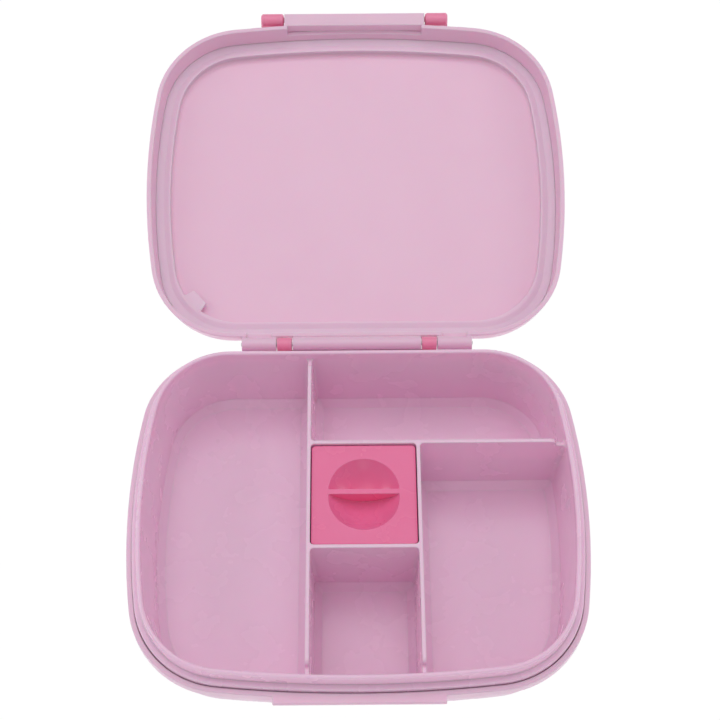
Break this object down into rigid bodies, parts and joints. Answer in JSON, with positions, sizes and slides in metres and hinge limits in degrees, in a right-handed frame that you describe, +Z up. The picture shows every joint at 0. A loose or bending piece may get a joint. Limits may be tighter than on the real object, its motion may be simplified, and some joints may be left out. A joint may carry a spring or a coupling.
{
  "type": "bento lunch box",
  "caption": "Bento lunch box, rounded, hinged lid open, with a lift-out compartment tray, a lidded snack cup, a lid seal and a front latch.",
  "frame": {"origin": "middle of the underside of the outer box", "axes": "+Z up, +X to the right along the hinge, +Y towards the hinge at the back; the latch catch is at -Y"},
  "size_m": [0.216, 0.3702, 0.0776],
  "materials": {
    "lilac_shell": "satin moulded polypropylene",
    "lilac_tray": "smooth moulded polypropylene",
    "pink_plastic": "satin moulded plastic",
    "seal": "soft silicone",
    "pin_steel": "plain steel wire"
  },
  "bodies": {
    "box": {"outer_box": "lilac_shell", "hinge_leaf": "pink_plastic", "hinge_pin": "pin_steel"},
    "tray": {"food_tray": "lilac_tray"},
    "cup": {"snack_cup": "pink_plastic"},
    "cup_cover": {"cup_lid": "pink_plastic"},
    "lid": {"lid_shell": "lilac_shell", "lid_seal": "seal"},
    "latch": {"latch": "pink_plastic"}
  },
  "joints": [
    {"name": "lid_hinge", "type": "hinge", "parent": "box", "child": "lid", "pos_m": [0, 0.0925, 0.03835], "axis": [-1, 0, 0], "range_deg": [-167.8, 0]},
    {"name": "latch_hinge", "type": "hinge", "parent": "lid", "child": "latch", "pos_m": [0, 0.27417, 0.074], "axis": [-1, 0, 0], "range_deg": [-176, 0]},
    {"name": "tray_lift", "type": "slide", "parent": "box", "child": "tray", "axis": [0, 0, 1], "range_m": [0, 0.06]},
    {"name": "cup_lift", "type": "slide", "parent": "tray", "child": "cup", "axis": [0, 0, 1], "range_m": [0, 0.05]},
    {"name": "cup_lid_lift", "type": "slide", "parent": "cup", "child": "cup_cover", "axis": [0, 0, 1], "range_m": [0, 0.03]}
  ]
}
